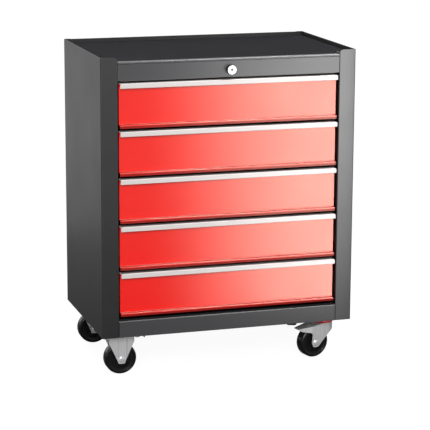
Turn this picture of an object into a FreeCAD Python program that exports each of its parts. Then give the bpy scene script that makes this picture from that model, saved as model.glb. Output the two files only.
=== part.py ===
import FreeCAD, Part
import math
import os

# Rolling tool cabinet, in millimetres.
# +Z is up, the drawers open towards -Y, and +X is to the right of someone facing them.
# The origin is on the floor, under the middle of the whole cabinet.

# Overall sizes
cabinet_width = 616.0
cabinet_depth = 370.0
body_height = 656.0
floor_clearance = 100.0
lock_projection = 12.0

# Sheet steel
carcass_sheet = 1.2
back_sheet = 1.0
drawer_sheet = 1.0
bend_radius = 1.2
seat_gap = 0.2

# Front frame
post_width = 40.5
post_return = 22.0
post_corner_radius = 10.0
rear_flange = 16.0
lock_rail_height = 45.0
lock_rail_drop = 10.0
rail_step = 1.2
rail_bead_height = 5.0
rail_bead_radius = 2.4
rail_cap_depth = 12.5
rail_hem = 12.0
bottom_rail_height = 39.0
rail_flange = 20.0

# Slide pillars inside the body
pillar_width = 26.0
front_pillar_setback = 40.0

# Base pan ribs
pan_rib_x = 60.0
pan_rib_length = 240.0
pan_rib_half_width = 6.0
pan_rib_radius = 5.0
pan_rib_rise = 3.0

# Top tray and its rubber mat
tray_depth = 9.5
tray_hem = 11.0
tray_wall_drop = 0.8
mat_thickness = 3.0

# Drawers
drawer_count = 5
drawer_pitch = 110.8
first_drawer_top = 596.9
drawer_front_height = 104.4
drawer_front_width = 526.0
front_recess = 10.0
front_lip_step = 10.0
front_lip_height = 8.5
front_lip_lean = 2.5
pull_height = 11.5
pull_projection = 5.0
pull_wall = 2.0
box_half_width = 255.0
box_depth = 320.0
box_height = 87.0
box_lift = 8.0
box_rim = 5.0
rim_return = 4.0
rim_bend = 0.5
front_fold = 6.0
pull_bead = 1.2
pull_corner = 3.5
catch_sheet = 1.5
catch_reach = 22.0
catch_width = 20.0
catch_top = 74.0
catch_bottom = 56.0
catch_flange = 14.0

# Ball slides
slide_length = 300.0
slide_setback = 29.0
slide_lift = 48.0
slide_pack = 13.0
outer_member_height = 35.0
outer_member_depth = 9.6
inner_member_height = 23.0
inner_member_depth = 9.0
slide_sheet = 1.2
ball_radius = 2.2
balls_per_row = 3
ball_pitch = 34.0
cage_length = 90.0
cage_setback = 68.0
cage_sheet = 0.8

# Casters
wheel_radius = 38.0
wheel_width = 27.0
tyre_thickness = 10.0
tyre_shoulder = 5.5
hub_boss_radius = 9.5
hub_web = 5.0
fork_gap = 35.0
fork_sheet = 2.2
caster_plate_thickness = 2.5
caster_plate_length = 92.0
caster_plate_width = 66.0
caster_plate_corner = 7.0
caster_bolt_spacing = (74.0, 48.0)
bolt_flats = 10.0
bolt_head_height = 4.0
bolt_nut_height = 5.0
bolt_clearance = 0.3
bracket_thickness = 2.0
fixed_caster_inset = 53.0
swivel_caster_inset = 46.0
caster_end_inset = 50.0
caster_trail = 34.0
front_swivel_turn = 12.0
rear_swivel_turn = 250.0
rear_king_pin_inset = 79.0
bolt_shank_radius = 3.0
axle_radius = 4.0
axle_flats = 13.0
axle_head_radius = 6.5
axle_head_height = 3.5
axle_nut_height = 6.0
axle_clearance = 0.05
fork_foot_drop = 11.0
fixed_fork_half_length = 31.0
fixed_fork_skirt = 15.0
swivel_fin_reach = 44.0
swivel_nose_half_width = 11.0
swivel_taper_start = 12.0
swivel_roof_fall = 9.5
king_pin_radius = 5.0
seal_height = 7.0
cup_height = 4.2
cup_gap = 0.3
race_radius = 22.0
fixed_rib_radius = 5.0
fixed_rib_rise = 2.2
fixed_rib_offset = 10.0
swivel_rib_radius = 2.6
swivel_rib_rise = 1.5
swivel_rib_offsets = (8.0, 17.0)

# Lock
lock_height = 620.0
lock_radius = 10.0
lock_rod_radius = 3.0
lock_plug_radius = 6.0
lock_plug_length = 34.0
lock_face_thickness = 1.5
lock_barrel_radius = 9.0
lock_barrel_length = 22.0
lock_hole_gap = 0.2
rod_end_setback = 20.0
crank_radius = 10.0
crank_rest_angle = 45.0
crank_thickness = 2.5
crank_pin_radius = 1.5
lock_bar_setback = 29.0
lock_bar_left = -10.0
lock_bar_right = 18.0
lock_bar_thickness = 2.0
bar_slot_clearance = 0.5
finger_setback = 15.5
finger_width = 16.0
finger_base = 36.0
finger_height = 18.0
guide_height = 14.0
guide_clearance = 0.4

# Planes and levels that follow from the sizes
half_width = cabinet_width / 2
front_y = -(cabinet_depth + lock_projection) / 2 + lock_projection
back_y = front_y + cabinet_depth
body_bottom = floor_clearance
body_top = body_bottom + body_height
post_inner_x = half_width - post_width
side_inner_x = half_width - carcass_sheet
front_inner_y = front_y + carcass_sheet
back_inner_y = back_y - carcass_sheet
pan_top = body_bottom + carcass_sheet
lock_rail_top = body_top - lock_rail_drop
lock_rail_bottom = lock_rail_top - lock_rail_height
bottom_rail_top = body_bottom + bottom_rail_height
mat_top = body_top - tray_depth
tray_floor_top = mat_top - mat_thickness
tray_floor_bottom = tray_floor_top - carcass_sheet
rail_face_y = front_y + rail_step
rail_hem_y = front_y + rail_cap_depth
box_front_y = front_y + front_recess + carcass_sheet
box_rear_y = box_front_y + box_depth
slide_front_y = front_y + slide_setback
slide_rear_y = slide_front_y + slide_length
slide_outer_x = box_half_width + slide_pack
front_pillar_y = front_y + front_pillar_setback
rear_pillar_y = slide_rear_y - pillar_width
lock_z = body_bottom + lock_height
lock_front_y = front_y - lock_projection
rod_end_y = box_rear_y + rod_end_setback
lock_bar_y = box_rear_y + lock_bar_setback
pin_x = crank_radius * math.cos(math.radians(crank_rest_angle))
pin_z = lock_z - crank_radius * math.sin(math.radians(crank_rest_angle))
bracket_bottom = body_bottom - bracket_thickness
plate_bottom = bracket_bottom - caster_plate_thickness
fork_outer = fork_gap / 2 + fork_sheet
seal_top = plate_bottom - cup_height - cup_gap
fork_head_top = seal_top - seal_height
tyre_seat = wheel_radius - tyre_thickness
seat_radius = bend_radius + seat_gap

parts = {}


def vec(x, y, z):
    return FreeCAD.Vector(x, y, z)


def block(x0, x1, y0, y1, z0, z1):
    return Part.makeBox(x1 - x0, y1 - y0, z1 - z0, vec(x0, y0, z0))


def rod(radius, start, direction, length):
    return Part.makeCylinder(radius, length, start, direction)


def mirror_x(shape):
    return shape.mirror(vec(0, 0, 0), vec(1, 0, 0))


def on_plan(z):
    """Places outline points (x, y) at the height z."""
    return lambda a, b: vec(a, b, z)


def on_side(x):
    """Places outline points (y, z) on the plane at x."""
    return lambda a, b: vec(x, a, b)


def on_front(y):
    """Places outline points (x, z) on the plane at y."""
    return lambda a, b: vec(a, y, b)


def unit(ax, ay):
    length = math.hypot(ax, ay)
    return ax / length, ay / length


def outline_face(points, place):
    """A face from closed outline points (a, b, corner radius)."""
    corners = []
    for i, (a, b, radius) in enumerate(points):
        before = points[i - 1]
        after = points[(i + 1) % len(points)]
        ux, uy = unit(before[0] - a, before[1] - b)
        wx, wy = unit(after[0] - a, after[1] - b)
        if radius <= 0:
            corners.append(((a, b), None, (a, b)))
            continue
        half_angle = math.acos(max(-1.0, min(1.0, ux * wx + uy * wy))) / 2
        reach = radius / math.tan(half_angle)
        mx, my = unit(ux + wx, uy + wy)
        out = radius / math.sin(half_angle) - radius
        corners.append(((a + ux * reach, b + uy * reach),
                        (a + mx * out, b + my * out),
                        (a + wx * reach, b + wy * reach)))
    edges = []
    for i, (start, middle, end) in enumerate(corners):
        if middle:
            edges.append(Part.Arc(place(*start), place(*middle), place(*end)).toShape())
        following = corners[(i + 1) % len(corners)][0]
        if math.dist(end, following) > 1e-6:
            edges.append(Part.LineSegment(place(*end), place(*following)).toShape())
    return Part.Face(Part.Wire(edges))


def bent_strip(points, thickness, side):
    """The outline of a folded sheet, from its line of points (a, b, inner bend radius).
    side is 1 where the thickness lies to the left of the line, -1 to the right."""
    count = len(points)
    shifted = []
    near = []
    far = []
    for i, (a, b, radius) in enumerate(points):
        if i > 0:
            inx, iny = unit(a - points[i - 1][0], b - points[i - 1][1])
        if i < count - 1:
            outx, outy = unit(points[i + 1][0] - a, points[i + 1][1] - b)
        if i == 0:
            inx, iny = outx, outy
        if i == count - 1:
            outx, outy = inx, iny
        nx, ny = -(iny + outy) * side, (inx + outx) * side
        scale = thickness / (1 + inx * outx + iny * outy)
        shifted.append((a + nx * scale, b + ny * scale))
        turn = (inx * outy - iny * outx) * side
        if i in (0, count - 1) or radius <= 0:
            near.append(0)
            far.append(0)
        elif turn > 0:
            near.append(radius + thickness)
            far.append(radius)
        else:
            near.append(radius)
            far.append(radius + thickness)
    outline = [(points[i][0], points[i][1], near[i]) for i in range(count)]
    outline += [(shifted[i][0], shifted[i][1], far[i]) for i in reversed(range(count))]
    return outline


def rounded_rectangle(a0, a1, b0, b1, radius):
    return [(a0, b0, radius), (a1, b0, radius), (a1, b1, radius), (a0, b1, radius)]


def hexagon(across_flats, centre_a, centre_b):
    reach = across_flats / math.sqrt(3)
    return [(centre_a + reach * math.cos(math.radians(60 * i)),
             centre_b + reach * math.sin(math.radians(60 * i)), 0) for i in range(6)]


def turned(profile, centre, direction):
    """A solid of revolution. profile has (radius, distance along direction, corner radius)."""
    face = outline_face(profile, lambda a, b: vec(a, 0, b))
    solid = face.revolve(vec(0, 0, 0), vec(0, 0, 1), 360)
    rotation = FreeCAD.Rotation(vec(0, 0, 1), direction)
    solid.Placement = FreeCAD.Placement(centre, rotation)
    return solid


def clean(shape):
    return shape.removeSplitter()


def group(solids):
    return Part.makeCompound(solids)


# Carcass

def post_round_cut(sign):
    """What comes off the inner top corner of a front post, above the lock rail."""
    inner = post_inner_x
    centre_x = inner + post_corner_radius
    level = body_top - post_corner_radius
    corner = block(inner - 1, centre_x, front_y - 1, front_y + post_return + 1, level, body_top + 1)
    disc = rod(post_corner_radius, vec(centre_x, front_y - 2, level), vec(0, 1, 0), post_return + 4)
    cut = corner.cut(disc)
    return cut if sign > 0 else mirror_x(cut)


def right_side_panel():
    """Side wall, front post and rear flange, folded from one sheet."""
    line = [(half_width - rear_flange, back_y, 0),
            (half_width, back_y, bend_radius),
            (half_width, front_y, bend_radius),
            (post_inner_x, front_y, bend_radius),
            (post_inner_x, front_y + post_return, 0)]
    face = outline_face(bent_strip(line, carcass_sheet, -1), on_plan(body_bottom))
    panel = face.extrude(vec(0, 0, body_height))
    panel = panel.cut(post_round_cut(1))
    foot_notch = block(post_inner_x - 1, post_inner_x + carcass_sheet + bend_radius, front_inner_y,
                       front_y + post_return + 1, body_bottom - 1, pan_top)
    return panel.cut(foot_notch)


def back_panel():
    outer_y = back_inner_y
    half = side_inner_x - seat_radius
    return block(-half, half, outer_y - back_sheet, outer_y, pan_top, body_top - 0.5)


def bolt_places():
    """Centres (x, y) of the sixteen caster bolts."""
    places = []
    for centre_x, centre_y in caster_centres():
        for sx in (-0.5, 0.5):
            for sy in (-0.5, 0.5):
                places.append((centre_x + sx * caster_bolt_spacing[0],
                               centre_y + sy * caster_bolt_spacing[1]))
    return places


def caster_centres():
    """Centres (x, y) of the two fixed casters and of the two swivel casters' king pins."""
    fixed_x = -half_width + fixed_caster_inset
    swivel_x = half_width - swivel_caster_inset
    front_swivel_y = front_y + caster_end_inset + caster_trail * math.sin(math.radians(front_swivel_turn))
    return [(fixed_x, front_y + caster_end_inset),
            (fixed_x, back_y - caster_end_inset),
            (swivel_x, front_swivel_y),
            (swivel_x, back_y - rear_king_pin_inset)]


def base_pan():
    """Floor of the body, with two pressed stiffening ribs across it."""
    outline = rounded_rectangle(-side_inner_x, side_inner_x, front_inner_y, back_inner_y, seat_radius)
    pan = outline_face(outline, on_plan(body_bottom)).extrude(vec(0, 0, carcass_sheet))
    for x in (-pan_rib_x, pan_rib_x):
        rib = rod(pan_rib_radius, vec(x, -pan_rib_length / 2, pan_top + pan_rib_rise - pan_rib_radius),
                  vec(0, 1, 0), pan_rib_length)
        rib = rib.common(block(x - pan_rib_half_width, x + pan_rib_half_width, -pan_rib_length,
                               pan_rib_length, pan_top - 0.1, pan_top + pan_rib_radius))
        pan = pan.fuse(rib)
    for hole in bolt_holes(body_bottom - 1, body_bottom + 3):
        pan = pan.cut(hole)
    return clean(pan)


def tray_plan(gap):
    """Plan of the tray floor, notched round the folded posts, with a gap all round."""
    front_x = post_inner_x + carcass_sheet + gap
    rear_y = back_inner_y - back_sheet - seat_gap
    return [(-side_inner_x + gap, front_inner_y + gap, seat_radius),
            (-front_x, front_inner_y + gap, seat_radius),
            (-front_x, front_y + post_return + gap, 0),
            (-post_inner_x + gap, front_y + post_return + gap, 0),
            (-post_inner_x + gap, rail_hem_y + gap, 0),
            (post_inner_x - gap, rail_hem_y + gap, 0),
            (post_inner_x - gap, front_y + post_return + gap, 0),
            (front_x, front_y + post_return + gap, 0),
            (front_x, front_inner_y + gap, seat_radius),
            (side_inner_x - gap, front_inner_y + gap, seat_radius),
            (side_inner_x - gap, rear_y - gap, 0),
            (-side_inner_x + gap, rear_y - gap, 0)]


def top_tray():
    """Tray floor with walls on three sides and a hem behind the lock rail."""
    floor_face = outline_face(tray_plan(0.0), on_plan(tray_floor_bottom))
    tray = floor_face.extrude(vec(0, 0, carcass_sheet))
    wall_top = body_top - tray_wall_drop
    rear_y = back_inner_y - back_sheet - seat_gap
    for x0 in (-side_inner_x, side_inner_x - carcass_sheet):
        tray = tray.fuse(block(x0, x0 + carcass_sheet, front_inner_y + seat_radius, rear_y,
                               tray_floor_bottom, wall_top))
    tray = tray.fuse(block(-side_inner_x, side_inner_x, rear_y - carcass_sheet, rear_y,
                           tray_floor_bottom, wall_top))
    tray = tray.fuse(block(-post_inner_x, post_inner_x, rail_hem_y, rail_hem_y + carcass_sheet,
                           tray_floor_bottom - tray_hem, tray_floor_top))
    return clean(tray)


def top_mat():
    """Rubber mat that fills the tray."""
    face = outline_face(tray_plan(carcass_sheet + seat_gap), on_plan(tray_floor_top))
    return face.extrude(vec(0, 0, mat_thickness))


def lock_rail():
    """Front rail above the drawers: a face set back behind the posts, a proud rounded bead
    along its top, and a cap that is hemmed down behind the bead."""
    bead_z = lock_rail_top - rail_bead_height
    line = [(front_y + rail_flange, lock_rail_bottom, 0),
            (rail_face_y, lock_rail_bottom, bend_radius),
            (rail_face_y, bead_z - rail_step, bend_radius / 2),
            (front_y, bead_z, bend_radius / 2),
            (front_y, lock_rail_top, rail_bead_radius),
            (rail_hem_y, lock_rail_top, bend_radius),
            (rail_hem_y, lock_rail_top - rail_hem, 0)]
    face = outline_face(bent_strip(line, carcass_sheet, -1), on_side(-post_inner_x))
    rail = face.extrude(vec(2 * post_inner_x, 0, 0))
    hole_radius = lock_barrel_radius + lock_hole_gap
    return rail.cut(rod(hole_radius, vec(0, front_y - 1, lock_z), vec(0, 1, 0), 6))


def bottom_rail():
    line = [(front_y + rail_flange, bottom_rail_top, 0),
            (front_y, bottom_rail_top, bend_radius),
            (front_y, body_bottom, 0)]
    face = outline_face(bent_strip(line, carcass_sheet, 1), on_side(-post_inner_x))
    return face.extrude(vec(2 * post_inner_x, 0, 0))


def slide_pillars():
    """Four upright channels that carry the slides."""
    pillars = []
    for y0 in (front_pillar_y, rear_pillar_y):
        line = [(side_inner_x, y0, 0),
                (slide_outer_x, y0, bend_radius),
                (slide_outer_x, y0 + pillar_width, bend_radius),
                (side_inner_x, y0 + pillar_width, 0)]
        face = outline_face(bent_strip(line, carcass_sheet, -1), on_plan(pan_top))
        pillar = face.extrude(vec(0, 0, tray_floor_bottom - pan_top))
        pillars += [pillar, mirror_x(pillar)]
    return group(pillars)


# Ball slides

def drawer_top(index):
    return body_bottom + first_drawer_top - index * drawer_pitch


def drawer_bottom(index):
    return drawer_top(index) - drawer_front_height


def slide_z(index):
    return drawer_bottom(index) + slide_lift


def outer_member(z):
    """Cabinet half of a right-hand slide: a channel with turned-in lips."""
    half = outer_member_height / 2
    tip_x = slide_outer_x - outer_member_depth
    line = [(tip_x, z + half - 2.6, 0),
            (tip_x, z + half, 0.8),
            (slide_outer_x, z + half, 1.6),
            (slide_outer_x, z - half, 1.6),
            (tip_x, z - half, 0.8),
            (tip_x, z - half + 2.6, 0)]
    face = outline_face(bent_strip(line, slide_sheet, -1), on_front(slide_front_y))
    return face.extrude(vec(0, slide_length, 0))


def inner_member(z):
    """Drawer half of a right-hand slide: a narrower channel that faces the other way."""
    half = inner_member_height / 2
    tip_x = box_half_width + inner_member_depth
    line = [(tip_x, z + half, 0),
            (box_half_width, z + half, 1.0),
            (box_half_width, z - half, 1.0),
            (tip_x, z - half, 0)]
    face = outline_face(bent_strip(line, slide_sheet, 1), on_front(slide_front_y))
    return face.extrude(vec(0, slide_length, 0))


def ball_cage(z):
    """Cage of a right-hand slide, with its two rows of balls."""
    row = (outer_member_height / 2 - slide_sheet + inner_member_height / 2) / 2
    web_x = slide_outer_x - slide_sheet - 0.6
    tip_x = slide_outer_x - outer_member_depth + slide_sheet + 0.4
    ball_x = (web_x + tip_x) / 2 - 0.8
    half = row + cage_sheet / 2
    rear_y = slide_rear_y - cage_setback
    line = [(tip_x, z + half, 0), (web_x, z + half, 0), (web_x, z - half, 0), (tip_x, z - half, 0)]
    face = outline_face(bent_strip(line, cage_sheet, -1), on_front(rear_y - cage_length))
    cage = face.extrude(vec(0, cage_length, 0))
    first_y = rear_y - cage_length / 2 - ball_pitch * (balls_per_row - 1) / 2
    for sign in (-1, 1):
        for i in range(balls_per_row):
            centre = vec(ball_x, first_y + i * ball_pitch, z + sign * row)
            cage = cage.fuse(Part.makeSphere(ball_radius, centre))
    return cage


def both_sides(shape):
    return group([shape, mirror_x(shape)])


def cabinet_runners():
    members = []
    for index in range(drawer_count):
        member = outer_member(slide_z(index))
        members += [member, mirror_x(member)]
    return group(members)


# Drawers

def wall_section(outer, inward):
    """Section (across, z) of a box wall with its top turned in and down, from z = 0.
    inward is 1 where the inside of the box lies towards larger values, else -1."""
    rim = outer + inward * box_rim
    line = [(rim, box_height - rim_return, 0),
            (rim, box_height, rim_bend),
            (outer, box_height, rim_bend),
            (outer, 0, 0)]
    return bent_strip(line, drawer_sheet, inward)


def catch_tab():
    """Hooked tab welded to the back wall, level 0 at the drawer's bottom."""
    hook_y = box_rear_y + catch_reach
    line = [(box_rear_y, catch_top - catch_flange, 0),
            (box_rear_y, catch_top, bend_radius),
            (hook_y, catch_top, bend_radius),
            (hook_y, catch_bottom, 0)]
    tab = outline_face(bent_strip(line, catch_sheet, -1), on_side(-catch_width / 2))
    return tab.extrude(vec(catch_width, 0, 0))


def drawer_box(index):
    """Box of spot-welded sheets: a floor, two side walls and two end walls with rims,
    and the catch tab on its back."""
    inner_x = box_half_width - drawer_sheet
    rim_x = box_half_width - box_rim
    pieces = [block(-inner_x, inner_x, box_front_y + drawer_sheet, box_rear_y - drawer_sheet,
                    0, drawer_sheet)]
    side = outline_face(wall_section(box_half_width, -1), on_front(box_front_y))
    side = side.extrude(vec(0, box_depth, 0))
    pieces += [side, mirror_x(side)]
    corner = block(rim_x, box_half_width, box_front_y - 1, box_rear_y + 1,
                   box_height - rim_return, box_height + 1)
    for outer, inward in ((box_front_y, 1), (box_rear_y, -1)):
        wall = outline_face(wall_section(outer, inward), on_side(-inner_x))
        wall = wall.extrude(vec(2 * inner_x, 0, 0))
        pieces.append(wall.cut(corner).cut(mirror_x(corner)))
    box = group(pieces)
    box.translate(vec(0, 0, drawer_bottom(index) + box_lift))
    tab = catch_tab()
    tab.translate(vec(0, 0, drawer_bottom(index)))
    return group(box.Solids + [tab])


def drawer_front(index):
    """Pressed front: flat face, a stepped lip that leans back along the bottom, folded top and ends."""
    top = drawer_top(index) - pull_wall
    bottom = drawer_bottom(index)
    face_y = front_y + front_recess
    lip_y = face_y - front_lip_step
    ledge_z = bottom + front_lip_height
    half = drawer_front_width / 2
    line = [(face_y + front_fold, top, 0),
            (face_y, top, bend_radius),
            (face_y, ledge_z, bend_radius),
            (lip_y, ledge_z, bend_radius),
            (lip_y + front_lip_lean, bottom, 0)]
    sheet = outline_face(bent_strip(line, carcass_sheet, 1), on_side(-half))
    front = sheet.extrude(vec(2 * half, 0, 0))
    for x0 in (-half, half - carcass_sheet):
        front = front.fuse(block(x0, x0 + carcass_sheet, face_y + 0.6, face_y + front_fold,
                                 ledge_z - carcass_sheet, top))
    return clean(front)


def drawer_pull(index):
    """Extruded pull along the top of a drawer front, with a finger space behind its lip
    and its top corners rounded at both ends."""
    top = drawer_top(index)
    lip_y = front_y - pull_projection
    rear_y = front_y + front_recess + front_fold
    half = drawer_front_width / 2
    outline = [(rear_y, top, 0),
               (lip_y, top, 1.8),
               (lip_y, top - pull_height, 0.9),
               (lip_y + pull_wall + pull_bead, top - pull_height, 0.9),
               (lip_y + pull_wall + pull_bead, top - pull_height + 2.2, 0.6),
               (lip_y + pull_wall, top - pull_height + 3.4, 0),
               (lip_y + pull_wall, top - pull_wall, 1.0),
               (rear_y, top - pull_wall, 0)]
    pull = outline_face(outline, on_side(-half)).extrude(vec(2 * half, 0, 0))
    ends = [(-half, top - pull_height - 1, 0), (half, top - pull_height - 1, 0),
            (half, top, pull_corner), (-half, top, pull_corner)]
    ends = outline_face(ends, on_front(lip_y - 1)).extrude(vec(0, rear_y - lip_y + 2, 0))
    return pull.common(ends)


# Lock

def lock_housing():
    """Collar, barrel and nut of the lock."""
    collar_y = lock_front_y + lock_face_thickness
    collar = rod(lock_radius + 0.5, vec(0, collar_y, lock_z), vec(0, 1, 0), rail_face_y - collar_y)
    barrel = rod(lock_barrel_radius, vec(0, rail_face_y - 1, lock_z), vec(0, 1, 0), lock_barrel_length)
    nut = outline_face(hexagon(24.0, 0, lock_z), on_front(rail_face_y + carcass_sheet))
    nut = nut.extrude(vec(0, 4.0, 0))
    bore = rod(lock_plug_radius + axle_clearance, vec(0, lock_front_y, lock_z), vec(0, 1, 0), 42.0)
    return clean(collar.fuse(barrel).fuse(nut).cut(bore))


def lock_plug():
    """Turning face and plug, with the round keyway in its middle."""
    face = rod(lock_radius, vec(0, lock_front_y, lock_z), vec(0, 1, 0), 1.3)
    plug = rod(lock_plug_radius, vec(0, lock_front_y + 1.0, lock_z), vec(0, 1, 0),
               lock_plug_length - 1.0)
    keyway = rod(3.2, vec(0, lock_front_y - 1.0, lock_z), vec(0, 1, 0), 7.0)
    post = rod(1.8, vec(0, lock_front_y + 0.3, lock_z), vec(0, 1, 0), 6.0)
    slot = block(-0.8, 0.8, lock_front_y - 1.0, lock_front_y + 6.0, lock_z, lock_z + 4.4)
    return clean(face.fuse(plug).cut(keyway).cut(slot).fuse(post))


def lock_rod():
    """Rod from the plug to the back, with the crank that lifts the lock bar."""
    start_y = lock_front_y + lock_plug_length
    arm_y = rod_end_y - crank_thickness
    shaft = rod(lock_rod_radius, vec(0, start_y, lock_z), vec(0, 1, 0), rod_end_y - start_y)
    arm = rod(5.0, vec(0, arm_y, lock_z), vec(0, 1, 0), crank_thickness)
    arm = arm.fuse(rod(3.0, vec(pin_x, arm_y, pin_z), vec(0, 1, 0), crank_thickness))
    bridge = block(0, crank_radius, arm_y, rod_end_y, lock_z - 3.0, lock_z + 3.0)
    bridge.rotate(vec(0, 0, lock_z), vec(0, 1, 0), crank_rest_angle)
    pin = rod(crank_pin_radius, vec(pin_x, rod_end_y - 1.0, pin_z), vec(0, 1, 0),
              lock_bar_y + lock_bar_thickness + 2.0 - rod_end_y)
    return clean(shaft.fuse(arm).fuse(bridge).fuse(pin))


def lock_bar():
    """Sliding bar behind the drawers, with one upturned finger for each catch tab."""
    bottom = drawer_bottom(drawer_count - 1) + finger_base - 12.0
    y1 = lock_bar_y + lock_bar_thickness
    bar = block(lock_bar_left, lock_bar_right, lock_bar_y, y1, bottom, pin_z + 8.0)
    slot_half = crank_pin_radius + bar_slot_clearance
    slot_start = pin_x - slot_half
    slot = block(slot_start, crank_radius + slot_half, lock_bar_y - 1, y1 + 1,
                 pin_z - slot_half, pin_z + slot_half)
    bar = bar.cut(slot)
    for index in range(drawer_count):
        arm_z = drawer_bottom(index) + finger_base
        tip_y = box_rear_y + finger_setback
        line = [(lock_bar_y + 0.5, arm_z, 0),
                (tip_y, arm_z, bend_radius),
                (tip_y, arm_z + finger_height, 0)]
        finger = outline_face(bent_strip(line, lock_bar_thickness, -1), on_side(-finger_width / 2))
        bar = bar.fuse(finger.extrude(vec(finger_width, 0, 0)))
    return clean(bar)


def lock_bar_guides():
    """Two guide blocks on the back panel."""
    guides = []
    for index in (1, 3):
        z0 = drawer_bottom(index) - 10.0
        guide = block(lock_bar_left - 4, lock_bar_right + 4, lock_bar_y - 2.5,
                      back_inner_y - back_sheet, z0, z0 + guide_height)
        guide = guide.cut(block(lock_bar_left - guide_clearance, lock_bar_right + guide_clearance,
                                lock_bar_y - guide_clearance,
                                lock_bar_y + lock_bar_thickness + guide_clearance,
                                z0 - 1, z0 + guide_height + 1))
        guides.append(guide)
    return group(guides)


# Casters

def bolt_holes(z0, z1):
    radius = bolt_shank_radius + bolt_clearance
    return [rod(radius, vec(x, y, z0), vec(0, 0, 1), z1 - z0) for x, y in bolt_places()]


def caster_brackets():
    """Stiffening plates between the base and the casters, turned down at the inner end."""
    plates = []
    for centre_x, centre_y in caster_centres():
        inner = -1 if centre_x > 0 else 1
        reach = caster_plate_length / 2 + 6.0
        line = [(centre_x + inner * reach, bracket_bottom - 5.0, 0),
                (centre_x + inner * reach, body_bottom, bend_radius),
                (centre_x - inner * (caster_plate_length / 2), body_bottom, 0)]
        face = outline_face(bent_strip(line, bracket_thickness, inner),
                            on_front(centre_y - caster_plate_width / 2 - 4.0))
        plate = face.extrude(vec(0, caster_plate_width + 8.0, 0))
        for hole in bolt_holes(bracket_bottom - 1, body_bottom + 1):
            plate = plate.cut(hole)
        plates.append(plate)
    return group(plates)


def caster_bolts():
    """Hexagon bolts from below, each with its nut inside the body."""
    bolts = []
    for x, y in bolt_places():
        head = outline_face(hexagon(bolt_flats, x, y), on_plan(plate_bottom - bolt_head_height))
        nut = outline_face(hexagon(bolt_flats, x, y), on_plan(pan_top))
        shank = rod(bolt_shank_radius, vec(x, y, plate_bottom - 1.0), vec(0, 0, 1),
                    pan_top + bolt_nut_height + 1.5 - plate_bottom + 1.0)
        bolt = shank.fuse(head.extrude(vec(0, 0, bolt_head_height)))
        bolts.append(clean(bolt.fuse(nut.extrude(vec(0, 0, bolt_nut_height)))))
    return group(bolts)


def caster_plate(centre_x, centre_y):
    """Top plate with rounded corners."""
    outline = rounded_rectangle(centre_x - caster_plate_length / 2, centre_x + caster_plate_length / 2,
                                centre_y - caster_plate_width / 2, centre_y + caster_plate_width / 2,
                                caster_plate_corner)
    plate = outline_face(outline, on_plan(plate_bottom)).extrude(vec(0, 0, caster_plate_thickness))
    for hole in bolt_holes(plate_bottom - 1, bracket_bottom + 1):
        plate = plate.cut(hole)
    return plate


def leg_ribs(centre_x, places, top, bottom, centre_y, radius, rise):
    """Pressed upright ribs, rounded, on the outside of both legs."""
    ribs = []
    for x in places:
        for sign in (-1, 1):
            foot = vec(centre_x + x, centre_y + sign * (fork_outer + rise - radius), bottom)
            ribs.append(rod(radius, foot, vec(0, 0, 1), top - bottom))
    return ribs


def fixed_fork(centre_x, centre_y):
    """Fixed caster housing: a plate and an inverted channel with tapered legs."""
    outer = fork_outer
    axle_z = wheel_radius
    foot_z = axle_z - fork_foot_drop
    web_top = plate_bottom
    skirt_z = web_top - fixed_fork_skirt
    reach = fixed_fork_half_length
    legs = [(-reach, web_top, 0), (reach, web_top, 0), (reach, skirt_z, 5.0),
            (10.0, axle_z - 3.0, 12.0), (7.5, foot_z, 4.0), (-7.5, foot_z, 4.0),
            (-10.0, axle_z - 3.0, 12.0), (-reach, skirt_z, 5.0)]
    legs = [(centre_x + x, z, r) for x, z, r in legs]
    prism = outline_face(legs, on_front(centre_y - outer)).extrude(vec(0, 2 * outer, 0))
    bend = [(centre_y - outer, 0.0, 0), (centre_y + outer, 0.0, 0),
            (centre_y + outer, web_top, 3.4), (centre_y - outer, web_top, 3.4)]
    prism = prism.common(outline_face(bend, on_side(centre_x - 40)).extrude(vec(80, 0, 0)))
    hollow = [(centre_y - outer + fork_sheet, -5.0, 0), (centre_y + outer - fork_sheet, -5.0, 0),
              (centre_y + outer - fork_sheet, web_top - fork_sheet, 1.2),
              (centre_y - outer + fork_sheet, web_top - fork_sheet, 1.2)]
    prism = prism.cut(outline_face(hollow, on_side(centre_x - 40)).extrude(vec(80, 0, 0)))
    ribs = leg_ribs(centre_x, (-fixed_rib_offset, fixed_rib_offset), web_top - 4.0, axle_z + 9.0, centre_y,
                    fixed_rib_radius, fixed_rib_rise)
    for rib in ribs:
        inside = block(centre_x - 40, centre_x + 40, centre_y - fork_gap / 2, centre_y + fork_gap / 2, 0, 100)
        prism = prism.fuse(rib.cut(inside))
    hole_radius = axle_radius + axle_clearance
    prism = prism.cut(rod(hole_radius, vec(centre_x, centre_y - 30, axle_z), vec(0, 1, 0), 60))
    return clean(caster_plate(centre_x, centre_y).fuse(prism))


def axle(centre):
    """Axle bolt along Y through the given centre, with a round head in front and a nut behind."""
    outer = fork_outer
    shaft = rod(axle_radius, centre + vec(0, -outer - 1, 0), vec(0, 1, 0), 2 * outer + 9)
    head = turned([(0, 0, 0), (axle_head_radius, 0, 0), (axle_head_radius, axle_head_height, 2.0),
                   (0, axle_head_height, 0)], centre + vec(0, -outer, 0), vec(0, -1, 0))
    nut = outline_face(hexagon(axle_flats, centre.x, centre.z), on_front(centre.y + outer))
    return clean(shaft.fuse(head).fuse(nut.extrude(vec(0, axle_nut_height, 0))))


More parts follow.
